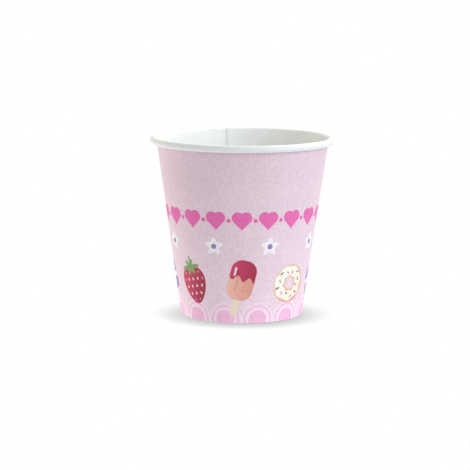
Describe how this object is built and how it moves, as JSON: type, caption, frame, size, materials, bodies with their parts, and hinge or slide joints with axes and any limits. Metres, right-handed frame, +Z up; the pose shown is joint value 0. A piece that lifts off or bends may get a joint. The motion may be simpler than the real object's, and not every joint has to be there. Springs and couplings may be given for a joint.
{
  "type": "paper cup",
  "caption": "Small tapered paper cup with a curled rim, a lapped side seam and a recessed bottom held in a folded hem, for drinks, desserts or samples.",
  "frame": {"origin": "centre of the base, on the plane that the cup stands on", "axes": "+Z up along the cup's axis, towards the mouth; the side seam lies towards +Y, so -Y is the front"},
  "size_m": [0.065, 0.065, 0.063],
  "materials": {
    "printed_board": "matt printed paperboard, pale pink outside, with a white coated inner face that shows at the rim",
    "white_board": "white coated paperboard"
  },
  "bodies": {
    "root": {"sidewall": "printed_board", "bottom_disc": "white_board"}
  },
  "joints": []
}
